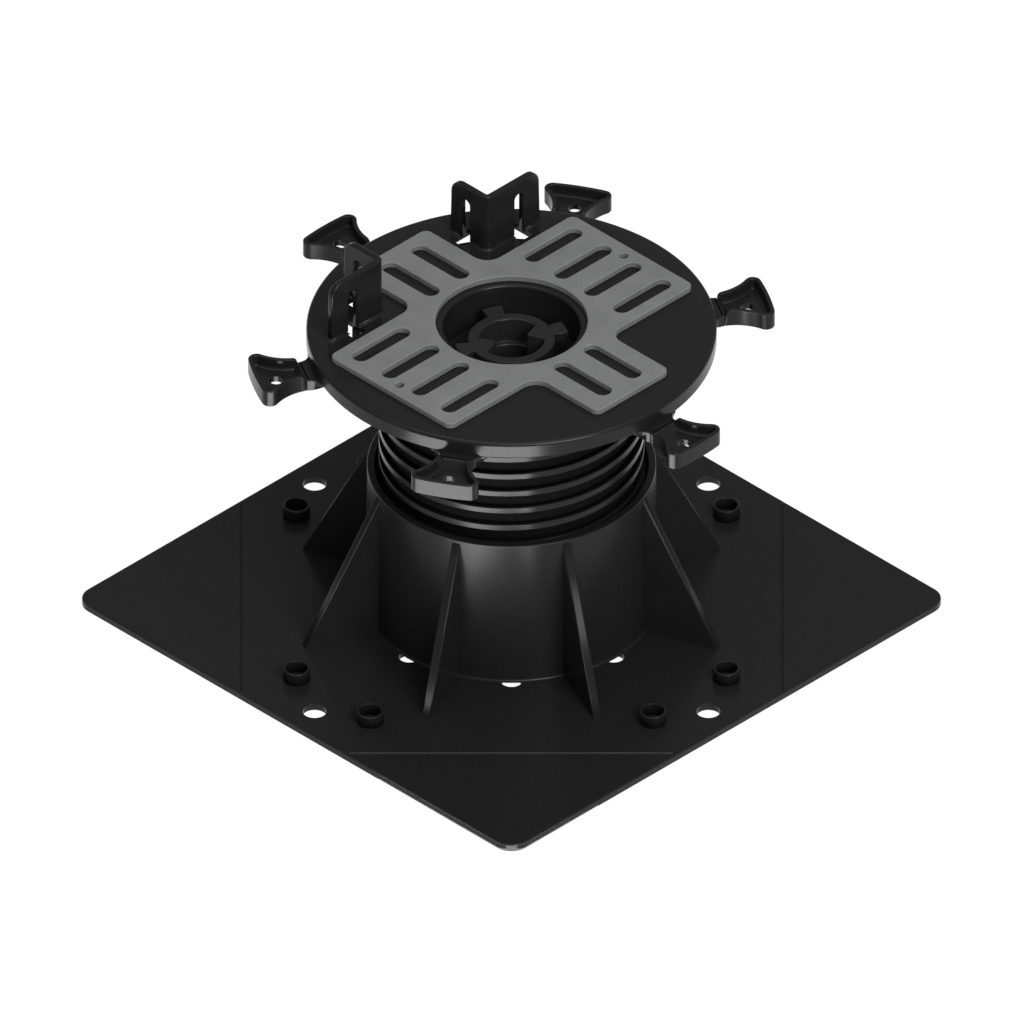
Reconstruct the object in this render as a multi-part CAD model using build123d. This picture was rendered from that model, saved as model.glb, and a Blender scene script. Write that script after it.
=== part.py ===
from build123d import *
import os
from math import ceil, cos, radians, sin, sqrt, tan

# Adjustable decking pedestal, shown at its greatest height.
# Millimetres, +Z up. The origin is the centre of the foot plate's underside.
# The plate's sides run along X and Y. Angles are counted from +X, seen from above.

# Foot plate
plate_w = 180.0
plate_corner_r = 6.0
plate_t = 2.3
plate_edge_r = 0.4
fix_hole_r = 3.5
fix_hole_inset = 9.1
boss_r = 3.95
boss_bore_r = 3.2
boss_h = 3.9
boss_rim_r = 0.25
boss_side = 15.1
boss_inset = 16.8
drain_r = 3.1
drain_count = 8
groove_corner_cut = 48.7
groove_end_gap = 1.5
groove_w = 0.8
groove_depth = 0.5

# Tube and its gussets
tube_wall_foot = 2.6
tube_wall_top = 2.3
tube_foot_r = 0.9
tube_rim_r = 0.35
gusset_count = 8
gusset_turn = 22.5
gusset_t = 2.6
gusset_reach = 23.2
gusset_toe_h = 0.5
gusset_below_top = 0.2
gusset_edge_r = 0.4

# Screw thread: single start, right hand
pitch = 6.05
crest_r = 38.6
thread_depth = 1.45
crest_w = 2.35
crest_base_w = 2.55
crest_chamfer = 0.3
crest_gap = 1.1
front_crest_z = 72.2
front_angle = 315.0
thread_end_below_rim = 2.5

# Matching ridge inside the tube
ridge_gap = 0.35
ridge_w = 2.4
ridge_base_w = 2.8
ridge_turns = 2.0
ridge_below_top = 0.8

# Screw: a hollow body, closed by a flat land with a dish round it that carries the head
engaged_length = 6.3
closed_gap = 2.9
floor_gap = 0.5
screw_wall = 2.3
screw_top_gap = 1.45
land_depth = 12.3
land_margin = 0.1
dish_centre_h = 60.3
seat_gap = 0.3

# Head disc
disc_r = 59.65
disc_top = 99.0
disc_h = 5.2
disc_t = 2.1
disc_edge_r = 1.0
skirt_edge_r = 0.4
slope_w = 4.0
slope_drop = 0.3
bowl_r = 19.9
bowl_wall = 2.1
bowl_rim_r = 0.8
bearing_ring_t = 2.1
bearing_ring_inset = 2.05
collar_t = 2.1
collar_gap = 2.2
collar_lift = 1.5

# Screw ears round the disc: reaches from the disc's edge, depths from the disc's top
ear_count = 6
ear_reach = 17.85
ear_neck_half_w = 5.0
ear_neck_reach = 3.35
ear_neck_depth = 4.9
ear_rim_depth = 3.15
ear_depth = 8.5
ear_floor_t = 1.9
ear_wall = 1.3
ear_side_r = 14.6
ear_side_reach = 2.85
ear_flare_r = 3.4
ear_corner_r = 2.5
ear_floor_r = 1.0
ear_end_r = 2.0
ear_rim_r = 0.3
ear_hole_r = 1.95
ear_hole_reach = 11.15

# Joist tabs: two wings at a corner beside the pad, and the same mirrored in Y
tab_gap = 6.0
tab_t = 2.0
tab_h = 18.75
tab_long_inset = 5.5
tab_short_inset = 7.85
tab_draft = 0.5
tab_corner_r = 4.0
tab_edge_r = 2.0
tab_rim_r = 0.35
tab_foot_r = 0.8
tab_slot_w = 3.2
tab_slot_edge_r = 0.6
tab_slot_h = 13.9
tab_long_slot_shift = 1.2
tab_short_slot_shift = 0.3
disc_slot_w = 5.5
disc_slot_before = 2.9
disc_slot_behind = 3.0

# Pad
pad_t = 1.9
pad_rim_r = 0.35
pad_inset = 3.6
pad_wide_half = 25.0
pad_narrow_half = 15.0
pad_inner_r = 5.0
pad_corner_r = 2.4
pad_hole_margin = 2.2
pad_slot_w = 5.0
pad_slot_start = 2.6
pad_slot_end = 4.1
pad_slot_near = 6.1
pad_slot_far = 18.2
pad_pip_r = 1.3
pad_pip_end = 4.2

# Key hub
hub_h = 7.8
hub_r = 12.7
hub_socket_r = 9.5
hub_bore_r = 7.9
hub_rim_r = 0.5
hub_floor_t = 1.5
lug_count = 4
lug_turn = 65.5
lug_gap = 3.1
lug_half_angle = 11.0
lug_h = 3.2
key_half_angle = 22.5
key_tip_r = 4.6
shank_wall = 2.3
shank_gap = 0.1
lip_h = 2.2
lip_over = 1.0
slit_w = 2.0

# Overlap that ties features of one moulding together
embed = 0.4

# Worked out from the sizes above
root_r = crest_r - thread_depth
tube_bore_r = crest_r + crest_gap
tube_foot_outer_r = tube_bore_r + tube_wall_foot
tube_top_outer_r = tube_bore_r + tube_wall_top
tube_top = (disc_top - disc_h - closed_gap + plate_t + floor_gap + engaged_length) / 2
travel = disc_top - disc_h - closed_gap - tube_top
gusset_peak = tube_top - gusset_below_top
gusset_fall = (gusset_peak - plate_t - gusset_toe_h) / (gusset_reach + embed)
screw_bottom = tube_top - engaged_length
screw_rim_z = disc_top - disc_t - screw_top_gap
land_z = disc_top - land_depth
land_r = bowl_r + land_margin
dish_centre_z = land_z + dish_centre_h
dish_r = sqrt(dish_centre_h**2 + land_r**2)
crest_z_at_zero = front_crest_z - pitch * front_angle / 360
collar_r = tube_top_outer_r + collar_gap
collar_bottom = travel + gusset_peak - gusset_fall * (collar_gap + embed) + collar_lift
tab_x = pad_wide_half + tab_gap
tab_y = pad_narrow_half + tab_gap
tab_long_reach = sqrt((disc_r - tab_long_inset) ** 2 - (tab_x + tab_t) ** 2) - tab_y
tab_short_reach = sqrt((disc_r - tab_short_inset) ** 2 - (tab_y + tab_t) ** 2) - tab_x
tab_long_slot_at = (tab_t + tab_long_reach) / 2 + tab_long_slot_shift
tab_short_slot_at = (tab_t + tab_short_reach) / 2 + tab_short_slot_shift
pad_reach = sqrt((disc_r - pad_inset) ** 2 - pad_wide_half**2)
pad_hole_r = bowl_r + pad_hole_margin
hub_top = land_z + hub_h
hub_seat_z = land_z - hub_floor_t
shank_r = hub_bore_r + shank_wall
lug_r = bowl_r - lug_gap
print(f"travel {travel:.2f}, pad reach {pad_reach:.2f}, wings {tab_long_reach:.2f} {tab_short_reach:.2f}")


def around(count, start=0.0):
    """Turns that repeat a feature evenly round the axis."""
    return [Rot(0, 0, start + 360 / count * i) for i in range(count)]


def span(x0, x1, y0, y1):
    """Rectangle between two pairs of limits."""
    return Pos((x0 + x1) / 2, (y0 + y1) / 2) * Rectangle(x1 - x0, y1 - y0)


def block(x0, x1, y0, y1, z0, z1):
    """Box between three pairs of limits."""
    return extrude(Pos(0, 0, z0) * span(x0, x1, y0, y1), z1 - z0)


def rod(radius, z0, z1):
    """Upright cylinder on the axis."""
    return extrude(Pos(0, 0, z0) * Circle(radius), z1 - z0)


def shape(*points):
    """Flat shape through the given corners."""
    return Polygon(*points, align=None)


def turned(section):
    """Solid of revolution from a section drawn as radius and height."""
    return revolve(Plane.XZ * section, Axis.Z)


def rounded(section, corner, radius):
    """The section with the corner nearest to a point rounded."""
    return fillet(section.vertices().sort_by_distance(corner)[0], radius)


def dish_ball(radius):
    """Section of a ball about the dish's centre."""
    return Pos(0, dish_centre_z) * Circle(radius)


def helical_ridge(root_at, root_w, crest_at, crest_w, z_at_zero, z0, z1):
    """Right-hand ridge with its middle at z_at_zero on the +X side, cut off at z0 and z1."""
    outer_r = max(root_at, crest_at)
    start = z_at_zero - pitch * ceil((z_at_zero - z0 + root_w) / pitch)
    path = Pos(0, 0, start) * Helix(pitch, z1 + root_w - start, (root_at + crest_at) / 2)
    edges = [(crest_at, -crest_w / 2), (crest_at, crest_w / 2)]
    section = shape((root_at, -root_w / 2), *edges, (root_at, root_w / 2))
    for edge in edges:
        section = chamfer(section.vertices().sort_by_distance(edge)[0], crest_chamfer)
    ridge = sweep(Pos(0, 0, start) * (Plane.XZ * section), path=path, is_frenet=True)
    return ridge & rod(outer_r + root_w, z0, z1)


def make_plate():
    plate = extrude(RectangleRounded(plate_w, plate_w, plate_corner_r), plate_t)
    plate = fillet(plate.edges().group_by(Axis.Z)[-1], plate_edge_r)
    groove_at = plate_w / sqrt(2) - groove_corner_cut
    half_len = groove_corner_cut - groove_end_gap
    groove = block(
        groove_at - groove_w / 2, groove_at + groove_w / 2,
        -half_len, half_len, plate_t - groove_depth, plate_t,
    )
    fix_hole = Pos(plate_w / 2 - fix_hole_inset, 0) * rod(fix_hole_r, 0, plate_t)
    drain = Pos(tube_top_outer_r, 0) * rod(drain_r, 0, plate_t)
    plate -= [turn * fix_hole for turn in around(4)]
    plate -= [turn * groove for turn in around(4, 45)]
    return plate - [turn * drain for turn in around(drain_count)]


def make_boss():
    boss = rod(boss_r, plate_t, plate_t + boss_h) - rod(boss_bore_r, plate_t, plate_t + boss_h)
    rims = boss.edges().filter_by(GeomType.CIRCLE).group_by(Axis.Z)[-1]
    return fillet(rims.sort_by(SortBy.RADIUS)[-1], boss_rim_r)


def make_tube():
    wall = shape(
        (tube_bore_r, plate_t), (tube_foot_outer_r, plate_t),
        (tube_top_outer_r, tube_top), (tube_bore_r, tube_top),
    )
    toe = span(tube_foot_outer_r - embed, tube_foot_outer_r + tube_foot_r, plate_t, plate_t + tube_foot_r)
    toe -= Pos(tube_foot_outer_r + tube_foot_r, plate_t + tube_foot_r) * Circle(tube_foot_r)
    wall = rounded(wall, (tube_top_outer_r, tube_top), tube_rim_r)
    wall = rounded(wall, (tube_bore_r, tube_top), tube_rim_r)
    return turned(wall + toe)


def make_gusset():
    inside = tube_top_outer_r - embed
    reach_r = tube_top_outer_r + gusset_reach
    toe = (reach_r, plate_t + gusset_toe_h)
    outline = shape((inside, plate_t), (reach_r, plate_t), toe, (inside, gusset_peak))
    gusset = extrude(Plane.XZ * outline, gusset_t / 2, both=True)
    spans = [(edge, edge.bounding_box().size) for edge in gusset.edges()]
    return fillet([edge for edge, size in spans if min(size.X, size.Z) > gusset_t], gusset_edge_r)


def make_base():
    base = make_plate() + make_tube()
    base += [turn * make_gusset() for turn in around(gusset_count, gusset_turn)]
    boss = make_boss()
    boss_at = plate_w / 2 - boss_inset
    sides = (-boss_side, boss_side)
    base += [turn * Pos(boss_at, side) * boss for turn in around(4) for side in sides]
    ridge_top = tube_top - ridge_below_top
    return base + helical_ridge(
        tube_bore_r + embed, ridge_base_w, root_r + ridge_gap, ridge_w,
        crest_z_at_zero + pitch / 2, ridge_top - ridge_turns * pitch, ridge_top,
    )


def make_screw():
    wall = span(root_r - screw_wall, root_r, screw_bottom, screw_rim_z)
    band = span(land_r, root_r, land_z - screw_wall, screw_rim_z) & dish_ball(dish_r + screw_wall)
    land = span(shank_r + shank_gap, land_r + embed, hub_seat_z - screw_wall, land_z)
    land -= span(0, hub_r + shank_gap, hub_seat_z, land_z)
    land -= span(hub_r + screw_wall, land_r + embed, 0, land_z - screw_wall)
    body = turned((wall + band) - dish_ball(dish_r) + land)
    return body + helical_ridge(
        root_r - embed, crest_base_w, crest_r, crest_w,
        crest_z_at_zero, screw_bottom, screw_rim_z - thread_end_below_rim,
    )


def disc_section():
    under = disc_top - disc_t
    edge = (disc_r, disc_top - slope_drop)
    mouth = (bowl_r, disc_top)
    plate = shape(
        (bowl_r, under), mouth, (disc_r - slope_w, disc_top), edge, (disc_r, disc_top - disc_h),
        (disc_r - disc_t, disc_top - disc_h), (disc_r - disc_t, under),
    )
    plate = rounded(rounded(plate, edge, disc_edge_r), mouth, bowl_rim_r)
    plate = rounded(plate, (disc_r, disc_top - disc_h), skirt_edge_r)
    ring_r = root_r - bearing_ring_inset
    rings = span(bowl_r, bowl_r + bowl_wall, land_z, under + embed)
    rings += span(ring_r - bearing_ring_t, ring_r, land_z, under + embed)
    collar = span(collar_r, collar_r + collar_t, collar_bottom, under + embed)
    return plate + collar + (rings & dish_ball(dish_r - seat_gap))


def ear_outline():
    """Plan of one ear on the +X side, with flared sides and an end that follows the disc."""
    end = disc_r + ear_reach
    side_start = disc_r + ear_side_reach
    start = side_start - ear_neck_half_w
    side_y = ear_neck_half_w + ear_side_r
    half = span(start, end, 0, side_y) - span(start, side_start, ear_neck_half_w, side_y)
    half -= Pos(side_start, side_y) * Circle(ear_side_r)
    half &= Circle(end)
    half = rounded(half, (end, side_y), ear_corner_r)
    return half + mirror(half, Plane.XZ)


def ear_foot():
    """Plan of the neck that joins an ear to the disc, flared towards the disc on both sides."""
    start = disc_r - disc_t + embed
    side_start = disc_r + ear_side_reach
    flare_end = ear_neck_half_w + ear_flare_r
    foot = span(start, disc_r + ear_neck_reach, 0, ear_neck_half_w)
    foot += span(start, side_start, 0, flare_end)
    foot -= Pos(side_start, flare_end) * Circle(ear_flare_r)
    return foot + mirror(foot, Plane.XZ)


def make_ear():
    outline = ear_outline()
    end = disc_r + ear_reach
    neck_end = disc_r + ear_neck_reach
    neck_top = disc_top - ear_neck_depth
    bottom = disc_top - ear_depth
    floor = bottom + ear_floor_t
    top = disc_top - ear_rim_depth
    tray = extrude(Pos(0, 0, bottom) * outline, top - bottom)
    tray -= extrude(Pos(0, 0, floor) * offset(outline, -ear_wall), top - floor)
    tray &= block(neck_end, end, -end, end, bottom, top)
    wall_ends = tray.edges().filter_by_position(Axis.X, neck_end - embed, neck_end + embed)
    tray = fillet(wall_ends.group_by(Axis.Z)[-1], ear_end_r)
    corners = tray.edges().filter_by_position(Axis.Z, floor, floor)
    corners = corners.filter_by_position(Axis.X, neck_end, end, (False, True))
    tray = fillet(corners, ear_floor_r)
    tray = fillet(tray.edges().group_by(Axis.Z)[-1], ear_rim_r)
    ear = tray + extrude(Pos(0, 0, bottom) * ear_foot(), neck_top - bottom)
    slope = shape((neck_end, floor), (neck_end + neck_top - floor, floor), (neck_end, neck_top))
    ear += extrude(Plane.XZ * slope, ear_neck_half_w - ear_wall / 2, both=True)
    return ear - Pos(disc_r + ear_hole_reach, 0) * rod(ear_hole_r, bottom, floor)


def make_wing(reach, slot_at):
    """Upright wing along +X from a corner at the origin, with its thickness on the +Y side."""
    foot = -disc_t / 2
    tip = (reach - tab_draft, tab_h)
    outline = rounded(shape((0, foot), (reach, foot), tip, (0, tab_h)), tip, tab_corner_r)
    arch_z = tab_slot_h - tab_slot_w / 2
    outline -= span(slot_at - tab_slot_w / 2, slot_at + tab_slot_w / 2, foot, arch_z)
    outline -= Pos(slot_at, arch_z) * Circle(tab_slot_w / 2)
    wing = extrude(Plane.XZ * outline, -tab_t)
    mouth = wing.edges().filter_by_position(Axis.X, slot_at - tab_slot_w / 2, slot_at + tab_slot_w / 2)
    return fillet(mouth.filter_by_position(Axis.Z, 0, tab_slot_h), tab_slot_edge_r)


def make_disc_slot(slot_at):
    """Cutter through the disc under a wing's slot, in that wing's own place."""
    left = slot_at - disc_slot_w / 2
    right = slot_at + disc_slot_w / 2
    back = tab_t + disc_slot_behind
    cutter = block(left, right, -disc_slot_before, back, -disc_t, 0)
    cutter += block(left, right, -disc_slot_before, 0, 0, tab_foot_r)
    cutter += block(left, right, tab_t, back, 0, tab_foot_r)
    half = tab_slot_w / 2
    return cutter + block(slot_at - half, slot_at + half, 0, tab_t, 0, tab_foot_r)


def at_corner(long_piece, short_piece):
    """Both wings' pieces, the long one along +Y and the short one along -X, on the disc's top."""
    pair = Rot(0, 0, 90) * long_piece + mirror(short_piece, Plane.YZ)
    return Pos(-tab_x, tab_y, disc_top) * pair


def make_head():
    tab = at_corner(
        make_wing(tab_long_reach, tab_long_slot_at), make_wing(tab_short_reach, tab_short_slot_at)
    )
    corner = (-tab_x, tab_y, disc_top + tab_h / 2)
    tab = fillet(tab.edges().filter_by(Axis.Z).sort_by_distance(corner)[0], tab_edge_r)
    rims = tab.faces().sort_by(Axis.Z)[-1].edges()
    tab = fillet([rim for rim in rims if abs(rim.length - tab_t) > embed], tab_rim_r)
    slots = at_corner(make_disc_slot(tab_long_slot_at), make_disc_slot(tab_short_slot_at))
    head = turned(disc_section()) + [tab, mirror(tab, Plane.XZ)]
    feet = head.edges().filter_by_position(Axis.Z, disc_top - embed, disc_top + embed)
    feet = feet.filter_by_position(Axis.X, -tab_x - tab_long_reach, -tab_x + embed)
    head = fillet(feet, tab_foot_r)
    head += [turn * make_ear() for turn in around(ear_count)]
    return head - [slots, mirror(slots, Plane.XZ)]


def wedge(half_angle):
    """Flat wedge about +X with its point on the axis."""
    reach = 2 * lug_r
    rise = reach * tan(radians(half_angle))
    return shape((0, 0), (reach, -rise), (reach, rise))


def make_key_block():
    """Pointed block on the +X side of the socket, its point towards the axis."""
    angle = radians(key_half_angle)
    sides = [(r * cos(angle), r * sin(angle)) for r in (hub_socket_r, hub_r - embed)]
    outline = shape((key_tip_r, 0), *[(x, -y) for x, y in sides], *reversed(sides))
    return extrude(Pos(0, 0, land_z - embed) * outline, hub_top - land_z + embed)


def make_hub():
    mouth = (hub_socket_r, hub_top)
    bore_rim = (hub_bore_r, land_z)
    lip_top = hub_seat_z - screw_wall
    bottom = lip_top - lip_h
    section = shape(
        (hub_bore_r, bottom), bore_rim, (hub_socket_r, land_z), mouth, (hub_r, hub_top),
        (hub_r, hub_seat_z), (shank_r, hub_seat_z), (shank_r, lip_top),
        (shank_r + lip_over, lip_top), (shank_r, bottom),
    )
    section = rounded(rounded(section, mouth, hub_rim_r), bore_rim, hub_rim_r)
    lug = (Circle(lug_r) - Circle(hub_r - embed)) & wedge(lug_half_angle)
    lug = extrude(Pos(0, 0, hub_top - lug_h) * lug, lug_h)
    slit = block(0, 2 * shank_r, -slit_w / 2, slit_w / 2, bottom, hub_seat_z - embed)
    hub = turned(section) + [turn * lug for turn in around(lug_count, lug_turn)]
    hub += [turn * make_key_block() for turn in around(2, lug_turn)]
    return hub - [turn * slit for turn in around(lug_count, lug_turn)]


def pad_slots():
    inner = pad_hole_r + pad_slot_start
    outer = pad_reach - pad_slot_end
    middle = (inner + outer) / 2
    slot = SlotOverall(outer - inner, pad_slot_w)
    lines = [(0, side) for side in (-pad_slot_near, pad_slot_near)]
    lines += [(90, side) for side in (-pad_slot_far, -pad_slot_near, pad_slot_near, pad_slot_far)]
    return [
        Rot(0, 0, angle) * Pos(end * middle, side) * slot for angle, side in lines for end in (-1, 1)
    ]


def make_pad():
    cross = Rectangle(2 * pad_wide_half, 2 * pad_reach) + Rectangle(2 * pad_reach, 2 * pad_narrow_half)
    inner = [v for v in cross.vertices() if max(abs(v.X), abs(v.Y)) < pad_reach - embed]
    cross = fillet(inner, pad_inner_r)
    ends = [v for v in cross.vertices() if max(abs(v.X), abs(v.Y)) > pad_reach - embed]
    cross = fillet(ends, pad_corner_r) - Circle(pad_hole_r)
    pip_at = pad_reach - pad_pip_end
    cross -= [Pos(0, side) * Circle(pad_pip_r) for side in (-pip_at, pip_at)]
    pad = extrude(Pos(0, 0, disc_top) * (cross - pad_slots()), pad_t)
    return fillet(pad.edges().group_by(Axis.Z)[-1], pad_rim_r)


os.makedirs("parts", exist_ok=True)
pieces = {
    "base": make_base,
    "screw": make_screw,
    "head": make_head,
    "key_hub": make_hub,
    "pad": make_pad,
}
for name, make in pieces.items():
    export_step(make(), f"parts/{name}.step")
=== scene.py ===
# %% [markdown]
# # A decking pedestal, dressed in Blender
# The pedestal lifts decking or paving off a roof. A square foot carries a threaded tube, a hollow screw
# turns up and down in the tube, and a round head on the screw carries a soft pad and two pairs of tabs
# that space the slabs. The engineering model is loaded as a fixed frame, and each of its five mouldings
# gets a surface here, worked out with numpy, whose edges are rounded as a mould leaves them.

# %% Load the frame
import bmesh
import bpy
import numpy as np
from mathutils import Matrix, Vector
from mathutils.geometry import delaunay_2d_cdt


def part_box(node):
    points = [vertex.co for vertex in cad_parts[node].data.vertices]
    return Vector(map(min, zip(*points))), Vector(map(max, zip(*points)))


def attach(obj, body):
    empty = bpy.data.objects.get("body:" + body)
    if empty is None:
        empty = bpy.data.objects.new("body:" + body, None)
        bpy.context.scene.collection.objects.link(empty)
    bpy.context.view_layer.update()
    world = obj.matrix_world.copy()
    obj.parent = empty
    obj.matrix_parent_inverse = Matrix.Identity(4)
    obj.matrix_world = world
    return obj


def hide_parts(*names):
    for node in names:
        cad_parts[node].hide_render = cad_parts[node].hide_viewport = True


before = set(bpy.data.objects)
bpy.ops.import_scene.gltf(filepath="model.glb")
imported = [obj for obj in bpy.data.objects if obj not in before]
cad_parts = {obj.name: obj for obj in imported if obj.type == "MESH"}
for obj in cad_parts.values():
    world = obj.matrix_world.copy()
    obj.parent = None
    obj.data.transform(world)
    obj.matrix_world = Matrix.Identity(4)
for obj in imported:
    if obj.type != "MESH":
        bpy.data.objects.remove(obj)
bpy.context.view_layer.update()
MM = 0.001

# %% [markdown]
# ## Tools: lines with soft corners
# No moulded edge is sharp, and the glint along an edge is what makes plastic look real. Every outline and
# every section is therefore a line of corners, and one function rounds them all at once. It could be left
# to a Bevel modifier, but worked out here each corner keeps its own radius and the flat faces stay flat:
# a short straight lead on both sides of each arc stops the smooth shading from spilling over them.

# %% Round the corners of a line
LEAD = 0.06


def softened(corners, radii, closed=True, steps=5):
    """The line with its corners rounded. A corner P between the unit directions a and b back along its two
    sides is cut at P + a t and P + b t, where t = radius * tan(turn / 2), and the arc between the cuts is
    the rational quadratic curve whose middle weight is cos(turn / 2), which is an exact circle."""
    p = np.asarray(corners, float)
    r = np.broadcast_to(np.asarray(radii, float), len(p)).copy()
    if not closed:
        r[[0, -1]] = 0
    a, b = np.roll(p, 1, 0) - p, np.roll(p, -1, 0) - p
    a /= np.linalg.norm(a, axis=1)[:, None]
    b /= np.linalg.norm(b, axis=1)[:, None]
    turn = np.arccos(np.clip(-(a * b).sum(1), -1, 1))
    t = (r * np.tan(turn / 2))[:, None]
    lead = np.where(r > 0, LEAD, 0)[:, None]
    s = np.linspace(0, 1, steps + 1)[None, :, None]
    w = np.cos(turn / 2)[:, None, None]
    start, end = (p + a * t)[:, None], (p + b * t)[:, None]
    bend = (1 - s) ** 2 * start + 2 * s * (1 - s) * w * p[:, None] + s**2 * end
    bend /= (1 - s) ** 2 + 2 * s * (1 - s) * w + s**2
    line = np.concatenate([start + (a * lead)[:, None], bend, end + (b * lead)[:, None]], axis=1)
    line = line.reshape(-1, 2)
    step = np.linalg.norm(line - np.roll(line, 1, 0), axis=1)
    keep = step > 1e-6
    if not closed:
        keep[0] = True
    return line[keep]


def circle(radius, centre=(0, 0), steps=48):
    """Counter-clockwise circle: centre + radius * (cos, sin)."""
    angle = np.linspace(0, 2 * np.pi, steps, endpoint=False)
    return np.column_stack([centre[0] + radius * np.cos(angle), centre[1] + radius * np.sin(angle)])


def arc(radius, centre, first, last, steps):
    """Part of a circle between two angles in degrees, in either direction."""
    angle = np.radians(np.linspace(first, last, steps + 1))
    return np.column_stack([centre[0] + radius * np.cos(angle), centre[1] + radius * np.sin(angle)])


def box_outline(x0, x1, y0, y1, radius, steps=3):
    """Counter-clockwise rectangle between two pairs of limits, its corners rounded."""
    return softened([(x0, y0), (x1, y0), (x1, y1), (x0, y1)], radius, steps=steps)


print("a square of 10 with corners of 2 has", len(box_outline(0, 10, 0, 10, 2)), "points")

# %% [markdown]
# ## Tools: turned skins and helices
# Four ways of moving a line make every surface of the pedestal, and these are the first two. A section
# turned about the axis gives the tube, as a lathe would. A section carried up a helix gives the thread.
# Both could be had from the Screw modifier, but as a grid of points in two parameters numpy works out all
# the points together, and the ends of the thread can be cut flat where the screw ends.

# %% A grid of faces, and surfaces turned about the axis
def grid_faces(rows, columns, wrap_rows=False, wrap_columns=False):
    """Four-cornered faces between neighbouring points of a grid numbered row by row."""
    i = np.arange(rows if wrap_rows else rows - 1)[:, None]
    j = np.arange(columns if wrap_columns else columns - 1)[None, :]
    i2, j2 = (i + 1) % rows, (j + 1) % columns
    corners = [i * columns + j, i2 * columns + j, i2 * columns + j2, i * columns + j2]
    return np.stack(np.broadcast_arrays(*corners), axis=-1).reshape(-1, 4)


def turned(section, steps=160):
    """A closed section of radius and height, counter-clockwise, turned a full circle:
    (r cos angle, r sin angle, z), one row of points for each angle."""
    angle = np.linspace(0, 2 * np.pi, steps, endpoint=False)[:, None]
    r, z = section[:, 0][None, :], section[:, 1][None, :]
    points = np.stack([r * np.cos(angle), r * np.sin(angle), z + 0 * angle], axis=-1)
    return points.reshape(-1, 3), [grid_faces(steps, len(section), True, True)]


def along_helix(section, pitch, z_at_zero, z0, z1, steps=144):
    """A closed section of radius and height carried up a right-hand helix: the height gains one pitch each
    turn, and is cut off flat at z0 and z1, so the ridge starts and ends as a wedge of no height."""
    low, high = section[:, 1].min(), section[:, 1].max()
    first, last = (z0 - high - z_at_zero) / pitch, (z1 - low - z_at_zero) / pitch
    turns = np.linspace(first, last, int(steps * (last - first)))[:, None]
    r, dz = section[:, 0][None, :], section[:, 1][None, :]
    angle = 2 * np.pi * turns
    z = np.clip(z_at_zero + pitch * turns + dz, z0, z1)
    points = np.stack([r * np.cos(angle), r * np.sin(angle), z], axis=-1)
    return points.reshape(-1, 3), [grid_faces(len(turns), len(section), False, True)]


print("a ring of 8 by 4 points has", len(grid_faces(8, 4, True, True)), "faces")

# %% [markdown]
# ## Tools: sheets and walls
# Most of the pedestal is moulded like cut sheet: a flat face, a rounded edge, and holes. A rim carried
# round the outline gives the edge, and the flat faces are filled with triangles between the outline and
# its holes. A Boolean modifier could cut the holes, but it would not round their edges. A wall is the
# fourth way: one section carried along an open line, closed by flat caps.

# %% Sheet shapes: a rim carried round an outline, and its faces filled
def carried(loop, rim):
    """A rim of (inset, height) pairs carried round a closed outline. Each point moves inwards along the
    mean of its two sides' normals, by the inset divided by the cosine of half the turn between them."""
    ahead = np.roll(loop, -1, 0) - loop
    ahead /= np.linalg.norm(ahead, axis=1)[:, None]
    normal = np.column_stack([ahead[:, 1], -ahead[:, 0]])
    mean = normal + np.roll(normal, 1, 0)
    mean *= (2 / (mean**2).sum(1))[:, None]
    flat = loop[:, None, :] - mean[:, None, :] * rim[None, :, :1]
    height = np.broadcast_to(rim[None, :, 1:], (*flat.shape[:2], 1))
    return np.concatenate([flat, height], axis=-1).reshape(-1, 3)


def filled(loops, bars=()):
    """Triangles between closed lines in a plane: those whose middle lies inside an odd number of the
    lines, which leaves out the holes. A bar is a pair of point numbers that an edge has to join."""
    points = np.concatenate(loops)
    numbers = np.split(np.arange(len(points)), np.cumsum([len(line) for line in loops])[:-1])
    sides = np.concatenate([np.column_stack([n, np.roll(n, -1)]) for n in numbers])
    found = delaunay_2d_cdt([Vector(p) for p in points], sides.tolist() + list(bars), [], 1, 1e-7)
    first = np.array([origin[0] for origin in found[3]])
    faces = first[np.array(found[2])]
    x, y = points[faces].mean(1).T[:, :, None]
    (x0, y0), (x1, y1) = points[sides[:, 0]].T, points[sides[:, 1]].T
    passed = (y0 > y) != (y1 > y)
    rise = np.where(y1 == y0, 1, y1 - y0)
    inside = (passed & (x < x0 + (y - y0) * (x1 - x0) / rise)).sum(1) % 2 == 1
    faces = faces[inside]
    a, b, c = points[faces[:, 0]], points[faces[:, 1]], points[faces[:, 2]]
    cross = (b - a)[:, 0] * (c - a)[:, 1] - (b - a)[:, 1] * (c - a)[:, 0]
    faces[cross < 0] = faces[cross < 0][:, ::-1]
    return faces


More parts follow.
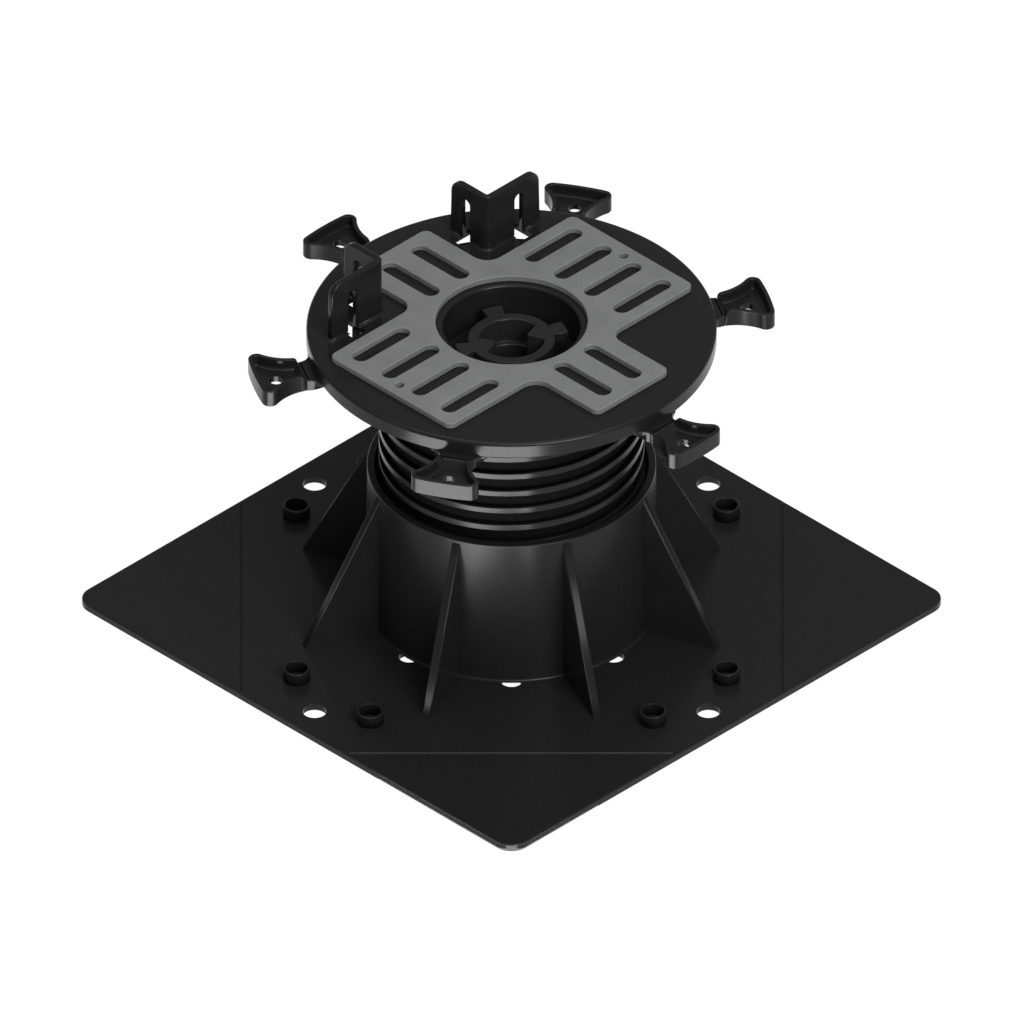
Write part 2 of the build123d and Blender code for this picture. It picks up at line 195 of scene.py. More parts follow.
def sheet_shape(outer, rim, holes=(), pockets=(), bars=()):
    """A flat body: rims carried round its outline and its holes, and both faces filled between them.
    holes and pockets are (outline, rim) pairs. A pocket has a floor of its own and leaves the underside."""
    parts = [(outer, rim)] + [(line[::-1], r) for line, r in (*holes, *pockets)]
    through = 1 + len(holes)
    points, faces, tops, bottoms = [], [], [], []
    start = 0
    for line, r in parts:
        points.append(carried(line, r))
        faces.append(grid_faces(len(line), len(r), True, False)[:, ::-1] + start)
        numbers = start + np.arange(len(line)) * len(r)
        tops.append(numbers)
        bottoms.append(numbers + len(r) - 1)
        start += len(line) * len(r)
    points = np.concatenate(points)
    upper, lower = np.concatenate(tops), np.concatenate(bottoms[:through])
    faces.append(upper[filled([points[n, :2] for n in tops], bars)])
    faces.append(lower[filled([points[n, :2] for n in bottoms[:through]], bars)][:, ::-1])
    faces += [numbers[filled([points[numbers, :2]])] for numbers in bottoms[through:]]
    return points, faces


def wall_along(path, section):
    """A closed section of (inset, height) pairs carried along an open line, like a rim round an outline,
    and closed by a flat cap at both ends."""
    ahead = np.diff(path, axis=0)
    ahead /= np.linalg.norm(ahead, axis=1)[:, None]
    normal = np.column_stack([ahead[:, 1], -ahead[:, 0]])
    mean = np.vstack([normal[:1], normal[1:] + normal[:-1], normal[-1:]])
    mean[1:-1] *= (2 / (mean[1:-1] ** 2).sum(1))[:, None]
    flat = path[:, None, :] - mean[:, None, :] * section[None, :, :1]
    height = np.broadcast_to(section[None, :, 1:], (*flat.shape[:2], 1))
    cap = filled([section])
    skin = grid_faces(len(path), len(section), False, True)[:, ::-1]
    last = (len(path) - 1) * len(section)
    return np.concatenate([flat, height], axis=-1).reshape(-1, 3), [skin, cap[:, ::-1], cap + last]


def rim_of(thickness, top_r, bottom_r, top=0.0):
    """The rim of a plain sheet edge: in along the top, round, down, round, in along the underside."""
    inner = max(top_r, bottom_r) + 2 * LEAD
    corners = [(inner, top), (0, top), (0, top - thickness), (inner, top - thickness)]
    return softened(corners, [0, top_r, bottom_r, 0], closed=False)


print("the rim of a sheet has", len(rim_of(2, 0.3, 0.3)), "points")

# %% [markdown]
# ## Tools: pieces
# On the real pedestal one moulding is one piece of plastic, so several skins become one object here. The
# skins could be joined with Booleans, but where a gusset sinks into the tube nothing shows, so they only
# overlap. The object is named, rides on its body and takes the place of the frame's own solid.

# %% Placing skins, and making a piece of them
def placed(skin, matrix):
    """The same skin moved by a matrix. A matrix that mirrors turns the faces round again."""
    points, faces = skin
    m = np.array(matrix)
    moved = points @ m[:3, :3].T + m[:3, 3]
    if np.linalg.det(m[:3, :3]) < 0:
        faces = [f[:, ::-1] for f in faces]
    return moved, faces


def round_axis(skin, count, start=0.0):
    """Copies of a skin at even turns about the axis, from a start angle in degrees."""
    angles = np.radians(start + 360 / count * np.arange(count))
    return [placed(skin, Matrix.Rotation(angle, 4, "Z")) for angle in angles]


def piece(name, skins, body, solid):
    """One object out of several skins: their points in metres, joined where they meet, shaded smooth. It
    takes the place of one solid of the frame."""
    points, faces, start = [], [], 0
    for skin_points, skin_faces in skins:
        points.append(skin_points * MM)
        faces += [row for f in skin_faces for row in (f + start).tolist()]
        start += len(skin_points)
    mesh = bpy.data.meshes.new(name)
    mesh.from_pydata(np.concatenate(points).tolist(), [], faces)
    work = bmesh.new()
    work.from_mesh(mesh)
    bmesh.ops.remove_doubles(work, verts=work.verts, dist=1e-7)
    bmesh.ops.dissolve_degenerate(work, edges=work.edges, dist=1e-8)
    work.to_mesh(mesh)
    work.free()
    mesh.shade_smooth()
    made = bpy.data.objects.new(name, mesh)
    bpy.context.scene.collection.objects.link(made)
    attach(made, body)
    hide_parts(solid)
    co = np.empty(len(mesh.vertices) * 3)
    mesh.vertices.foreach_get("co", co)
    co = co.reshape(-1, 3) / MM
    low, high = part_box(solid)
    off = np.abs(np.concatenate([co.min(0) - np.array(low) / MM, co.max(0) - np.array(high) / MM])).max()
    mesh.calc_loop_triangles()
    print(f"{name}: {len(mesh.loop_triangles)} triangles, farthest side {off:.2f} mm from the frame's box")
    return made


print("placed two copies:", len(round_axis(turned(circle(1, (5, 0), 8), 8), 2)))

# %% [markdown]
# ## The foot plate
# The foot is one moulding of polypropylene: a thin square plate, with holes for fixings, holes that drain
# the tube, small bosses that stiffen the fixing points, and fine lines across its corners where an
# installer may cut it. The plate is a sheet shape, and the cut lines are shallow pockets in it. Their
# sides lean like a V, as a cutter leaves them, so the line nearest the eye catches the light.

# %% The plate
plate_half, plate_t, plate_corner_r = 90.0, 2.3, 6.0
plate_outline = box_outline(-plate_half, plate_half, -plate_half, plate_half, plate_corner_r, 10)
plate_rim = rim_of(plate_t, 0.4, 0.25, plate_t)
through_rim = rim_of(plate_t, 0.18, 0.18, plate_t)
tube_outer_r, fixing_r, fixing_at, drain_r = 42.0, 3.5, 80.9, 3.1
fixing_centres = ((fixing_at, 0), (0, fixing_at), (-fixing_at, 0), (0, -fixing_at))
drain_centres = arc(tube_outer_r, (0, 0), 0, 315, 7)
holes = [(circle(fixing_r, centre), through_rim) for centre in fixing_centres]
holes += [(circle(drain_r, centre), through_rim) for centre in drain_centres]

cut_at, cut_half_length, cut_half_w, cut_depth, cut_lean = 78.579, 47.2, 0.4, 0.4, 0.28
cut_line = box_outline(cut_at - cut_half_w, cut_at + cut_half_w, -cut_half_length, cut_half_length, 0.3)
cut_floor = plate_t - cut_depth
cut_rim = softened([(-0.25, plate_t), (0, plate_t), (cut_lean, cut_floor), (cut_lean + 0.01, cut_floor)],
                   [0, 0.04, 0, 0], closed=False, steps=3)
diagonals = np.radians([45, 135, 225, 315])
turns = [np.array([[np.cos(a), -np.sin(a)], [np.sin(a), np.cos(a)]]) for a in diagonals]
cut_lines = [(cut_line @ turn.T, cut_rim * (-1, 1)) for turn in turns]

plate = sheet_shape(plate_outline, plate_rim, holes, cut_lines)
print("plate:", len(plate[0]), "points, with", len(holes), "holes and", len(cut_lines), "cut lines")

# %% [markdown]
# ## The tube, its gussets and its bosses
# The tube stands on the plate and carries the load down to it, so eight gussets prop it. It is a turned
# section that flares into the plate with a small fillet. Each gusset is an upright triangle of sheet, and
# each boss a small turned ring. Inside the tube a ridge of two turns guides the screw's thread.

# %% Tube, ridge, gussets and bosses
tube_top, bore_r, foot_r, foot_fillet, sunk = 50.0, 39.7, 42.3, 0.9, 0.02
wall_from = plate_t + 3
tube_section = np.concatenate([
    [(bore_r, plate_t - sunk)],
    arc(foot_fillet, (foot_r + foot_fillet, plate_t + foot_fillet - sunk), -90, -180, 6),
    softened([(foot_r, wall_from), (tube_outer_r, tube_top), (bore_r, tube_top), (bore_r, wall_from)],
             [0, 0.35, 0.35, 0], closed=False),
])
tube = turned(tube_section, 192)

pitch, crest_z_at_zero = 6.05, 66.906
guide_r, guide_back_r, guide_low, guide_top, root_half, crest_half = 37.5, 40.1, 37.1, 48.3, 1.4, 1.2
guide_section = softened([(guide_back_r, -root_half), (guide_back_r, root_half), (guide_r, crest_half),
                          (guide_r, -crest_half)], [0, 0, 0.3, 0.3], steps=3)[::-1]
guide = along_helix(guide_section, pitch, crest_z_at_zero - 3.5 * pitch, guide_low, guide_top)

gusset_t, gusset_in, gusset_top_r, gusset_reach = 2.6, 40.3, 41.7, 65.2
gusset_low, gusset_toe, gusset_top = 0.9, 2.8, 49.5
gusset_outline = np.array([(gusset_in, gusset_low), (gusset_reach, gusset_low), (gusset_reach, gusset_toe),
                           (gusset_top_r, gusset_top), (gusset_in, gusset_top)])
upright = Matrix(((1, 0, 0, 0), (0, 0, -1, 0), (0, 1, 0, 0), (0, 0, 0, 1)))
gusset_sheet = sheet_shape(gusset_outline, rim_of(gusset_t, 0.4, 0.4, gusset_t / 2))
gussets = round_axis(placed(gusset_sheet, upright), 8, 22.5)

boss_top, boss_r, boss_bore_r, boss_at, boss_side = plate_t + 3.9, 3.95, 3.2, 73.2, 15.1
boss_section = box_outline(boss_bore_r, boss_r, plate_t - 0.1, boss_top, [0, 0, 0.25, 0.2], 5)
boss = turned(boss_section, 40)
boss_pair = [placed(boss, Matrix.Translation((boss_at, side, 0))) for side in (-boss_side, boss_side)]
bosses = [copy for one in boss_pair for copy in round_axis(one, 4)]
print("tube top", tube_top, "mm,", len(gussets), "gussets,", len(bosses), "bosses")

# %% [markdown]
# ## Materials: black moulded plastic
# The mouldings are black polypropylene with a satin skin. Plain black would look like paper, because what
# shows on a black part is its gloss: it mirrors the studio softly, and that reflection is broken by the
# fine grain of the mould and by slow waves where the plastic shrank. So the colour hardly changes, and the
# roughness and two scales of bump carry the look. Everything reads Object coordinates, in metres.

# %% A satin black plastic
def node(tree, kind, **settings):
    """A new node in a tree, with its settings: attributes by name, and sockets by their titles."""
    made = tree.nodes.new(kind)
    for key, value in settings.items():
        if hasattr(made, key):
            setattr(made, key, value)
        else:
            made.inputs[key.replace("_", " ")].default_value = value
    return made


def link(tree, out_node, out_name, in_node, in_name):
    """A link from one node's output to another's input, both by their titles."""
    tree.links.new(out_node.outputs[out_name], in_node.inputs[in_name])


def ramped(tree, source, low, high, first, last):
    """A number from a noise, brought from low..high to first..last."""
    ramp = node(tree, "ShaderNodeMapRange")
    for title, value in zip(("From Min", "From Max", "To Min", "To Max"), (low, high, first, last)):
        ramp.inputs[title].default_value = value
    tree.links.new(source, ramp.inputs["Value"])
    return ramp.outputs["Result"]


def between(tree, dark, light, blend="MIX"):
    """A mix of two greys or colours, whose Factor is linked afterwards."""
    mix = node(tree, "ShaderNodeMix", data_type="RGBA", blend_type=blend)
    mix.inputs["A"].default_value = (*np.broadcast_to(dark, 3), 1)
    mix.inputs["B"].default_value = (*np.broadcast_to(light, 3), 1)
    return mix


def new_material(name):
    """A material with a shader, its output and the Object coordinates: (material, tree, shader, where)."""
    material = bpy.data.materials.new(name)
    material.use_nodes = True
    tree = material.node_tree
    tree.nodes.clear()
    out = node(tree, "ShaderNodeOutputMaterial")
    shader = node(tree, "ShaderNodeBsdfPrincipled")
    link(tree, shader, "BSDF", out, "Surface")
    return material, tree, shader, node(tree, "ShaderNodeTexCoord")


def moulded_plastic(name, dark, light, rough, ior=1.26):
    """Satin black plastic. Its grey drifts from dark to light with the mould's grain, about half a
    millimetre across, and its roughness with a slow noise. The bump is the grain over soft waves some
    twenty millimetres long."""
    material, tree, shader, where = new_material(name)
    slow = node(tree, "ShaderNodeTexNoise", Scale=55.0, Detail=3.0, Roughness=0.55)
    fine = node(tree, "ShaderNodeTexNoise", Scale=1900.0, Detail=2.0, Roughness=0.6)
    for noise in (slow, fine):
        link(tree, where, "Object", noise, "Vector")
    colour = between(tree, dark, light)
    tree.links.new(ramped(tree, fine.outputs["Fac"], 0.35, 0.65, 0.0, 1.0), colour.inputs["Factor"])
    link(tree, colour, "Result", shader, "Base Color")
    satin = ramped(tree, slow.outputs["Fac"], 0.15, 0.85, rough - 0.04, rough + 0.04)
    tree.links.new(satin, shader.inputs["Roughness"])
    waves = node(tree, "ShaderNodeBump", Strength=0.1, Distance=0.06 * MM)
    link(tree, slow, "Fac", waves, "Height")
    grain = node(tree, "ShaderNodeBump", Strength=0.09, Distance=0.012 * MM)
    link(tree, fine, "Fac", grain, "Height")
    link(tree, waves, "Normal", grain, "Normal")
    link(tree, grain, "Normal", shader, "Normal")
    shader.inputs["IOR"].default_value = ior
    return material


base_black = moulded_plastic("base_black_plastic", 0.011, 0.014, 0.25)
print("material:", base_black.name, "with", len(base_black.node_tree.nodes), "nodes")

# %% The base piece
base = piece("base_moulding", [plate, tube, guide, *gussets, *bosses], "base", "base")
base.data.materials.append(base_black)

# %% [markdown]
# ## The screw
# The screw is a hollow sleeve with a coarse round-topped thread outside. At its top a flat land, and round
# it a shallow dish, part of a ball, carry the head, which can settle on the dish when the roof slopes. The
# sleeve is a turned section. The thread is one ridge carried up a helix, which keeps its start and its
# pitch exact, where a stack of rings would show as rings. The faces between the crests take a second
# finish, darker and almost without gloss: painted shade that stands in for the shade in the troughs.

# %% Sleeve, dish and thread
crest_r, root_r, sleeve_wall = 38.6, 37.15, 2.3
screw_bottom, dish_z, dish_r, land_z, seat_z = 43.7, 147.0, 63.530, 86.7, 85.2


def dish_height(r, ball=dish_r):
    """Height of the ball-shaped dish at a radius r: its centre's height less the square root of
    ball squared minus r squared."""
    return dish_z - np.sqrt(ball**2 - np.asarray(r) ** 2)


inner_r, ball_under = root_r - sleeve_wall, dish_r + sleeve_wall
lip_r, land_r, recess_r, shank_hole_r, hub_hole_z = root_r - 0.5, 20.0, 12.8, 10.3, 82.9
dish_in_r, under_r, under_z, foot_to, lip_from = land_r + 0.6, 15.0, 84.4, 60, 90
dish_top = np.linspace(lip_r, dish_in_r, 24)
dish_under = np.linspace(under_r + 0.6, inner_r - 0.6, 24)
sleeve_foot = softened(
    [(inner_r, foot_to), (inner_r, screw_bottom), (root_r, screw_bottom), (root_r, foot_to)],
    [0, 0.3, 0.3, 0], closed=False)
sleeve_lip = softened([(root_r, lip_from), (root_r, dish_height(root_r)), (lip_r, dish_height(lip_r))],
                      [0, 0.25, 0], closed=False)
land = softened(
    [(dish_in_r, dish_height(dish_in_r)), (land_r, land_z), (recess_r, land_z), (recess_r, seat_z),
     (shank_hole_r, seat_z), (shank_hole_r, hub_hole_z), (under_r, hub_hole_z), (under_r, under_z),
     (under_r + 0.6, under_z)], [0, 0, 0.2, 0.1, 0.2, 0.2, 0.2, 0.1, 0], closed=False)
sleeve_section = np.concatenate([
    sleeve_foot,
    sleeve_lip,
    np.column_stack([dish_top, dish_height(dish_top)])[1:],
    land[1:],
    np.column_stack([dish_under, np.maximum(dish_height(dish_under, ball_under), under_z)])[1:],
    [(inner_r, float(dish_height(inner_r, ball_under)) - 0.2)],
])
sleeve = turned(sleeve_section, 192)
thread_in_r, thread_top, foot_half, top_half = 36.9, 92.95, 1.30, 1.18
thread_section = softened([(thread_in_r, -foot_half), (crest_r, -top_half), (crest_r, top_half),
                           (thread_in_r, foot_half)], [0, 0.45, 0.45, 0])
thread = along_helix(thread_section, pitch, crest_z_at_zero - 4 * pitch, screw_bottom, thread_top, 160)
screw = piece("screw_moulding", [sleeve, thread], "screw", "screw")

# %% Its finish, with painted shade in the troughs
screw.data.materials.append(moulded_plastic("screw_black_plastic", 0.011, 0.014, 0.22))
# The second finish is darker and almost without gloss: painted shade for the troughs between the crests.
screw.data.materials.append(moulded_plastic("trough_painted_shade_plastic", 0.004, 0.007, 0.65, ior=1.07))
middles = np.empty(len(screw.data.polygons) * 3)
screw.data.polygons.foreach_get("center", middles)
middles = middles.reshape(-1, 3) / MM
middle_r = np.hypot(middles[:, 0], middles[:, 1])
in_trough = (middle_r > root_r - 0.1) & (middle_r < crest_r - 0.1) & (middles[:, 2] < thread_top - 0.05)
screw.data.polygons.foreach_set("material_index", in_trough.astype(np.int32))
print("faces in the troughs:", int(in_trough.sum()))

# %% [markdown]
# ## The head
# The head is a round disc with a turned-down skirt. A bowl through its middle shows the screw and the key,
# six ears round its edge take screws, and tabs stand up beside the pad to space the slabs. Below each tab
# a slot through the disc lets the mould form the tab's own arched slot. Under the disc a ring rests on the
# screw's dish, and a collar hangs round the tube's top. Both are turned sections joined into the disc.

# %% The disc, its bowl and its slots
disc_r, disc_top, disc_t, disc_h, bowl_r = 59.65, 99.0, 2.1, 5.2, 19.9
disc_under, skirt_z = disc_top - disc_t, disc_top - disc_h
crown_w, crown_drop, seat_gap = 4.0, 0.3, 0.3
disc_rim = softened(
    [(crown_w + 0.6, disc_top), (crown_w, disc_top), (0, disc_top - crown_drop), (0, skirt_z),
     (disc_t, skirt_z), (disc_t, disc_under), (disc_t + 0.6, disc_under)],
    [0, 3.0, 1.0, 0.4, 0.4, 0.3, 0], closed=False, steps=6)


def seat_height(r):
    """Height at a radius of what rests on the dish: the dish's ball made smaller by the gap that lets the
    head turn."""
    return dish_height(r, dish_r - seat_gap)


bowl_rim = softened(
    [(1.2, disc_top), (0, disc_top), (0, seat_height(bowl_r)), (disc_t, seat_height(bowl_r + disc_t)),
     (disc_t, disc_under), (disc_t + 0.6, disc_under)],
    [0, 0.8, 0.25, 0.25, 0.3, 0], closed=False, steps=6)

tab_x, tab_y, cut_half, before_tab, behind_tab = -31.0, 21.0, 2.75, 2.9, 5.0
long_cut_y, short_cut_x = tab_y + 13.165, tab_x - 9.005
cuts = [(tab_x - behind_tab, tab_x + before_tab, long_cut_y - cut_half, long_cut_y + cut_half),
        (short_cut_x - cut_half, short_cut_x + cut_half, tab_y - before_tab, tab_y + behind_tab)]
cuts += [(x0, x1, -y1, -y0) for x0, x1, y0, y1 in cuts]
disc_slots = [(box_outline(*limits, 0.2), rim_of(disc_t, 0.15, 0.15, disc_top)) for limits in cuts]
bowl = (circle(bowl_r, steps=128), bowl_rim)
disc = sheet_shape(circle(disc_r, steps=256), disc_rim, [bowl, *disc_slots])
print("disc radius", disc_r, "mm, bowl radius", bowl_r, "mm,", len(disc_slots), "slots below the tabs")

# %% The bearing ring and the collar under it
ring_in, ring_out, collar_r, collar_z, root_z = 33.0, 35.1, 44.2, 87.0, disc_under + 0.2
ring_section = softened([(ring_in, root_z), (ring_in, seat_height(ring_in)),
                         (ring_out, seat_height(ring_out)), (ring_out, root_z)], [0, 0.3, 0.3, 0])
bearing_ring = turned(ring_section)
collar_out = collar_r + disc_t
collar_section = softened([(collar_r, root_z), (collar_r, collar_z), (collar_out, collar_z),
                           (collar_out, root_z)], [0, 0.3, 0.3, 0])
collar = turned(collar_section)
print("the collar reaches down to", collar_z, "mm")

# %% [markdown]
# ### The ears
# Each ear is a small tray on a short neck: a floor with a screw hole, and a raised wall that follows its
# flared sides and stays open towards the disc. The wall is one section carried along the open line of the
# flanks and the end face, with a fillet at its foot and its two ends rounded down. The floor is a sheet
# shape inside it, and a small slope leads from the floor up to the neck, which flares into the disc. The
# flares' tips thin out from below, so that they meet the disc's skirt without a step.

# %% The outline of an ear
ear_end, ear_start, ear_side_x, neck_half, side_r, corner_r = 77.5, 63.0, 62.5, 5.0, 14.6, 2.5
side_centre = np.array([ear_side_x, neck_half + side_r])
to_side, to_end = side_r + corner_r, ear_end - corner_r
far = np.hypot(*side_centre)
along = (to_end**2 - to_side**2 + far**2) / (2 * far)
ahead = side_centre / far
corner_at = ahead * along + np.array([ahead[1], -ahead[0]]) * np.sqrt(to_end**2 - along**2)
to_corner = corner_at - side_centre
first = np.degrees(np.arcsin((ear_start - ear_side_x) / side_r)) - 90
last = np.degrees(np.arctan2(to_corner[1], to_corner[0]))
end_turn = np.degrees(np.arctan2(corner_at[1], corner_at[0]))
flank = arc(side_r, side_centre, first, last, 30)
corner = arc(corner_r, corner_at, last + 180, end_turn, 9)[1:]
ear_face = arc(ear_end, (0, 0), end_turn, 0, 6)[1:]
half_ear = np.concatenate([flank, corner, ear_face])
ear_outline = np.concatenate([half_ear[:-1] * (1, -1), half_ear[::-1]])
print("the outline of an ear has", len(ear_outline), "points")

# %% Its wall and floor
ear_bottom, ear_floor, ear_top, ear_wall = 90.5, 92.4, 95.85, 1.3
floor_r, end_r, overlap, screw_hole_r, screw_hole_at = 1.0, 2.0, 0.4, 1.95, 70.8
wall_section = softened(
    [(ear_wall, ear_top), (0, ear_top), (0, ear_bottom), (0.6, ear_bottom), (0.6, ear_floor - overlap),
     (ear_wall + floor_r, ear_floor - overlap), (ear_wall + floor_r, ear_floor), (ear_wall, ear_floor)],
    [0.35, 0.35, 0.3, 0, 0, 0, 0, floor_r - LEAD], steps=7)
ear_walls = wall_along(ear_outline, wall_section)
x, _, z = ear_walls[0].T
wall_end = ear_top - end_r + np.sqrt(end_r**2 - np.clip(ear_start + end_r - x, 0, end_r) ** 2)
ear_walls[0][:, 2] = np.minimum(z, wall_end)
floor_outline = carried(ear_outline, np.array([(overlap, 0.0)]))[:, :2]
floor_outline[[0, -1], 0] = ear_start - overlap
floor_rim = rim_of(ear_floor - ear_bottom - sunk, 0.1, 0.1, ear_floor)
tray = sheet_shape(floor_outline, floor_rim, [(circle(screw_hole_r, (screw_hole_at, 0), 32), floor_rim)])
print("the wall has", len(ear_walls[0]), "points, the floor", len(tray[0]))

# %% Its neck and slope, and six copies
flare_r, neck_top, neck_in = 3.4, 94.1, 57.95
flare = arc(flare_r, (ear_side_x, neck_half + flare_r), 180, 270, 10)
half_neck = np.concatenate([[(neck_in, neck_half + flare_r)], flare, [(ear_start - 0.2, neck_half)]])
neck_outline = np.concatenate([half_neck * (1, -1), half_neck[::-1]])
neck = sheet_shape(neck_outline, rim_of(neck_top - ear_bottom, 0.25, 0.25, neck_top))
x, y, z = neck[0].T
taper = np.clip((np.abs(y) - neck_half) / flare_r, 0, 1) * np.clip((ear_start - 0.3 - x) / 2, 0, 1)
neck[0][:, 2] = np.maximum(z, ear_bottom + taper * (neck_top - 0.6 - ear_bottom))
slope_in, slope_out, slope_z, slope_w = ear_start - 1.2, ear_start + 2.3, 91.8, 2 * neck_half - ear_wall
slope_side = softened(
    [(slope_in, slope_z), (slope_out, slope_z), (ear_start, neck_top), (slope_in, neck_top)],
    [0.3, 0.3, 1.0, 0.3])
slope = placed(sheet_shape(slope_side, rim_of(slope_w, 0.1, 0.1, slope_w / 2)), upright)
ears = [copy for skin in (ear_walls, tray, neck, slope) for copy in round_axis(skin, 6)]
print("ears reach", ear_end, "mm and are", round(2 * float(corner_at[1] + corner_r), 1), "mm wide")

# %% [markdown]
# ### The tabs
# A tab is two thin wings that meet in a corner, each with an arched slot. It is drawn flat, as if it were
# unfolded, and then folded: a point keeps its height, and its distance along the wing becomes a place on a
# line that runs down one wing, round the corner and along the other. Bars across the flat sheet keep the
# triangles from bridging the fold. Small fillets at the feet grow out of the disc, as a mould needs them.

# %% Two pairs of wings, drawn flat and folded
tab_t, tab_h, long_reach, short_reach, fold_r = 2.0, 18.75, 21.93, 15.41, 1.3
fold_in = tab_t / 2 + fold_r
leg_1 = long_reach - fold_in
leg_2_from = leg_1 + np.pi / 2 * fold_r
flat_len = leg_2_from + short_reach - fold_in
slot_1, slot_2 = long_reach - (long_cut_y - tab_y), leg_2_from + (tab_x - short_cut_x) - fold_in
slot_half, slot_top, tab_foot = 1.6, 13.9, -1.05
fold_lines = np.concatenate([[leg_1 - 0.1], np.linspace(leg_1, leg_2_from, 9), [leg_2_from + 0.1]])
along_foot = [(u, tab_foot) for u in fold_lines]
along_top = [(u, tab_h) for u in fold_lines[::-1]]
slot_pair = [[(at - cut_half, tab_foot), (at - cut_half, 0), (at - slot_half, 0), (at - slot_half, slot_top),
              (at + slot_half, slot_top), (at + slot_half, 0), (at + cut_half, 0), (at + cut_half, tab_foot)]
             for at in (slot_1, slot_2)]
tab_corners = [(0, tab_foot), *slot_pair[0], *along_foot, *slot_pair[1], (flat_len, tab_foot),
               (flat_len - 0.5, tab_h), *along_top, (0.5, tab_h)]
arch_r, top_r = slot_half - 1.2 * LEAD, 4.0
slot_radii = [0, 0, 0, arch_r, arch_r, 0, 0, 0]
no_radii = [0] * len(fold_lines)
tab_radii = [0, *slot_radii, *no_radii, *slot_radii, 0, top_r, *no_radii, top_r]
tab_outline = softened(tab_corners, tab_radii, steps=9)
nearest = [[np.abs(tab_outline - (u, z)).sum(1).argmin() for z in (tab_foot, tab_h)] for u in fold_lines]
tab_bars = np.array(nearest).tolist()
flat_tab = sheet_shape(tab_outline, rim_of(tab_t, 0.5, 0.5, tab_t / 2), bars=tab_bars)


def folded(skin):
    """Folds a flat skin of (along, up, across) about the upright line at the wings' inner corner. Before
    the fold a point runs down the first wing, in the fold it turns by along / fold radius, and then it
    runs along the second wing."""
    (u, z, w), faces = skin[0].T, skin[1]
    bend = np.clip((u - leg_1) / fold_r, 0, np.pi / 2)
    before, after = np.minimum(u - leg_1, 0), np.maximum(u - leg_2_from, 0)
    x = tab_x - fold_in + (fold_r - w) * np.cos(bend) - after
    y = tab_y + fold_in - (fold_r - w) * np.sin(bend) - before
    return np.column_stack([x, y, z + disc_top]), faces


tab = folded(flat_tab)
print("unfolded wing length", round(float(flat_len), 1), "mm, height", tab_h, "mm")

# %% The fillets at their feet
fillet, fillet_top = 0.8, 0.9
foot_rim = np.concatenate([[(0.4, fillet_top), (0.02, fillet_top)],
                           arc(fillet, (-fillet, fillet), 0, -90, 5), [(-fillet, -0.2)]])
inner_x, inner_y, cut_reach = tab_x - tab_t, tab_y + tab_t, cut_half + 0.01
corner_y, corner_x = long_cut_y - cut_reach, short_cut_x + cut_reach
corner_foot = [(tab_x, corner_y), (inner_x, corner_y), (inner_x, inner_y), (corner_x, inner_y),
               (corner_x, tab_y), (tab_x, tab_y)]
feet_outlines = [
    box_outline(inner_x, tab_x, long_cut_y + cut_reach, tab_y + long_reach, 0),
    box_outline(tab_x - short_reach, short_cut_x - cut_reach, tab_y, inner_y, 0),
    softened(corner_foot, [0, 0, 0, 0, 0, fold_in], steps=6)]
feet = [placed(sheet_shape(line, foot_rim), Matrix.Translation((0, 0, disc_top))) for line in feet_outlines]
mirror_y = Matrix.Scale(-1, 4, (0, 1, 0))
tabs = [tab, *feet] + [placed(skin, mirror_y) for skin in (tab, *feet)]
print("each tab stands in", len(feet), "fillets")

# %% The head piece
head = piece("head_moulding", [disc, bearing_ring, collar, *ears, *tabs], "head", "head")
head.data.materials.append(moulded_plastic("head_black_plastic", 0.011, 0.014, 0.22))

# %% [markdown]
# ## The key hub
# In the bottom of the bowl sits a ring with four lugs and two pointed blocks. A key fits between the
# blocks and turns the screw from above, after the slabs are laid. The ring and its shank are turned, and
# the lugs and blocks are small sheet shapes set into it.

# %% Ring, lugs and key blocks
hub_top, hub_r, socket_r, hub_bore = 94.5, 12.7, 9.5, 7.9
shank_r, shank_z, shank_lip_r = 10.2, 80.7, 11.2
hub_section = softened(
    [(hub_bore, shank_z), (shank_r, shank_z), (shank_lip_r, hub_hole_z), (shank_r, hub_hole_z),
     (shank_r, seat_z), (hub_r, seat_z), (hub_r, hub_top), (socket_r, hub_top), (socket_r, land_z),
     (hub_bore, land_z)],
    [0.2, 0.2, 0.1, 0.1, 0.1, 0.2, 0.35, 0.5, 0.2, 0.5])
hub_ring = turned(hub_section, 128)
lug_reach, lug_half, lug_turn, lug_h, set_in_r = 16.8, 11.0, 65.5, 3.2, hub_r - 0.4
lug_outline = np.concatenate([arc(lug_reach, (0, 0), -lug_half, lug_half, 8),
                              arc(set_in_r, (0, 0), lug_half, -lug_half, 8)])
lug = sheet_shape(lug_outline, rim_of(lug_h, 0.3, 0.2, hub_top))
key_tip_r, key_half = 4.6, np.radians(22.5)
side = np.array([np.cos(key_half), np.sin(key_half)])
near, outer = side * socket_r, side * set_in_r
key_outline = softened([(key_tip_r, 0), near * (1, -1), outer * (1, -1), outer, near],
                       [0.5, 0, 0.5, 0.5, 0], steps=4)
key_block = sheet_shape(key_outline, rim_of(hub_top - land_z + 0.4, 0.2, 0.2, hub_top + 0.01))
lugs, key_blocks = round_axis(lug, 4, lug_turn), round_axis(key_block, 2, lug_turn)
hub = piece("key_hub_moulding", [hub_ring, *lugs, *key_blocks], "screw", "key_hub")
# The hub's plastic is a little lighter than the other mouldings: painted light that lifts the ring and lugs
# in the dark bowl.
hub.data.materials.append(moulded_plastic("hub_painted_light_plastic", 0.015, 0.019, 0.22))

# %% [markdown]
# ## The pad
# The grey pad is a soft sheet laid on the head, which keeps hard slabs from rattling and slipping. It is
# cut as a cross with a round hole, rows of slots that let it give and drain, and two small locating holes.

